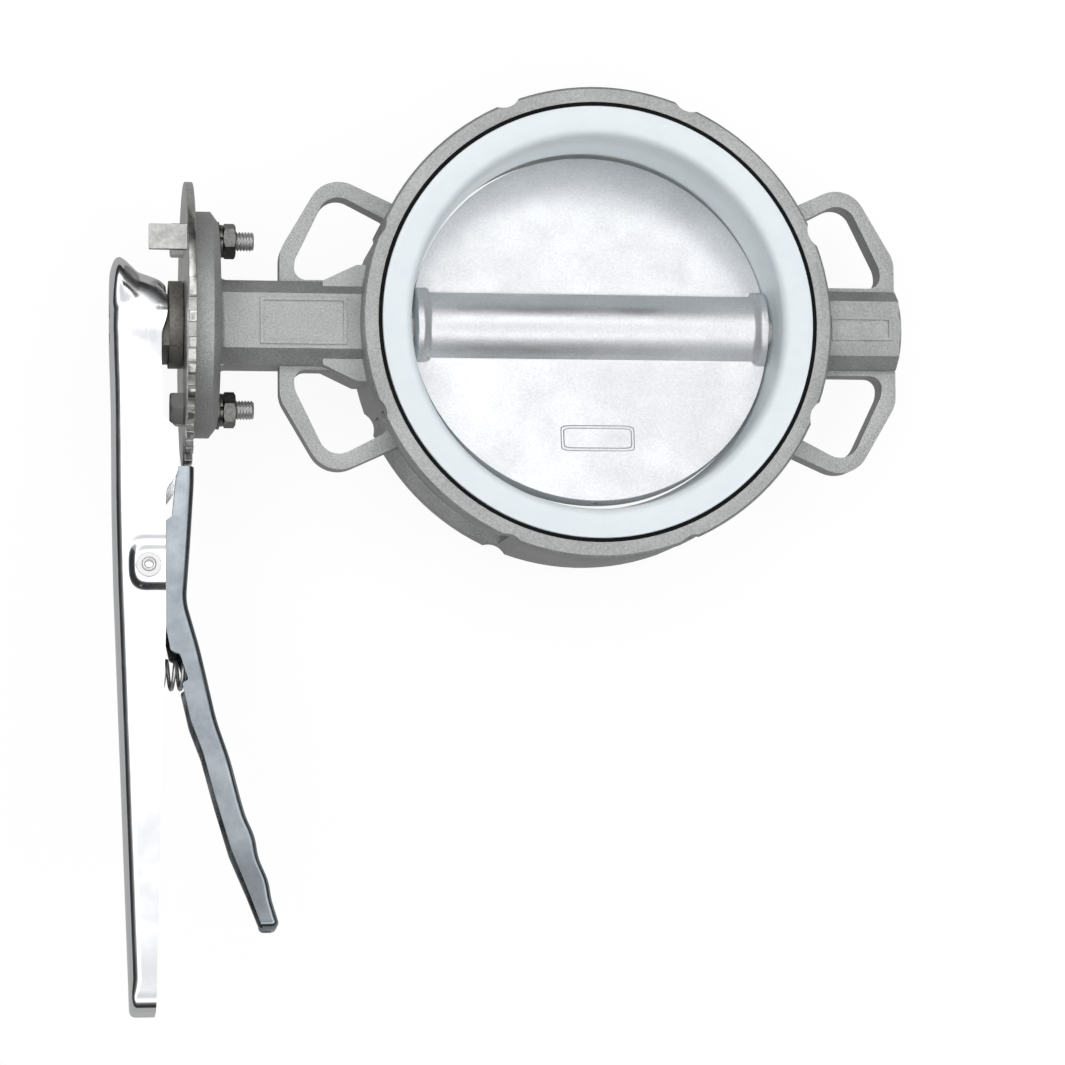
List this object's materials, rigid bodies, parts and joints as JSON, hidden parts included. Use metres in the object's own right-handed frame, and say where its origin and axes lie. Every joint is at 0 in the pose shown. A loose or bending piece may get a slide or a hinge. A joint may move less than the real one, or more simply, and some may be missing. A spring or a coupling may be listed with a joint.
{
  "type": "butterfly valve",
  "caption": "Wafer butterfly valve with a polymer-lined ring body, round disc on a cross stem, notch plate and a squeeze lever with a sprung latch.",
  "frame": {"origin": "centre of the bore, halfway between the two pipe faces, on the stem axis", "axes": "+Z along the pipe; -X up the stem towards the lever; -Y the way the lever points when the valve is shut"},
  "size_m": [0.3286, 0.3774, 0.1219],
  "materials": {
    "cast_stainless": "blasted casting, fine grain",
    "disc_steel": "satin casting with a polished edge and hub",
    "polished_steel": "mirror-polished pressed sheet",
    "plate_steel": "cold-rolled sheet with sheared edges",
    "machined_steel": "turned and milled",
    "fastener_steel": "bright cold-headed stainless",
    "spring_steel": "drawn wire",
    "bush_bronze": "sintered bronze",
    "white_seat": "moulded, faintly translucent fluoropolymer",
    "black_rubber": "moulded elastomer"
  },
  "bodies": {
    "valve": {"valve_body": "cast_stainless", "seat_backing_ring": "black_rubber", "ptfe_seat": "white_seat", "neck_bush_inner": "bush_bronze", "neck_bush_outer": "bush_bronze", "stem_seal_rings": "black_rubber", "stem_top_seal": "black_rubber", "gland_washer": "machined_steel", "stub_bush": "bush_bronze", "stub_seal_ring": "black_rubber", "plug_gasket": "black_rubber", "bottom_plug": "machined_steel", "notch_plate": "plate_steel", "plate_bolts": "fastener_steel", "flat_washers": "fastener_steel", "spring_washers": "fastener_steel", "plate_nuts": "fastener_steel"},
    "disc_and_lever": {"disc": "disc_steel", "drive_stem": "machined_steel", "stub_stem": "machined_steel", "lever_hub": "machined_steel", "lever_handle": "polished_steel", "lever_washer": "fastener_steel", "lever_screw": "fastener_steel", "trigger_pin": "machined_steel", "pin_washers": "fastener_steel", "trigger_spring": "spring_steel"},
    "trigger": {"trigger": "polished_steel"}
  },
  "joints": [
    {"name": "stem_turn", "type": "hinge", "parent": "valve", "child": "disc_and_lever", "pos_m": [0, 0, 0], "axis": [-1, 0, 0], "range_deg": [-10, 80]},
    {"name": "trigger_squeeze", "type": "hinge", "parent": "disc_and_lever", "child": "trigger", "pos_m": [-0.1834, -0.10321, 0.0182], "axis": [0, -0.1736, -0.9848], "range_deg": [0, 15], "stiffness_Nm_per_rad": 2, "springref_deg": -8.59, "deforming": ["trigger_spring"]}
  ]
}
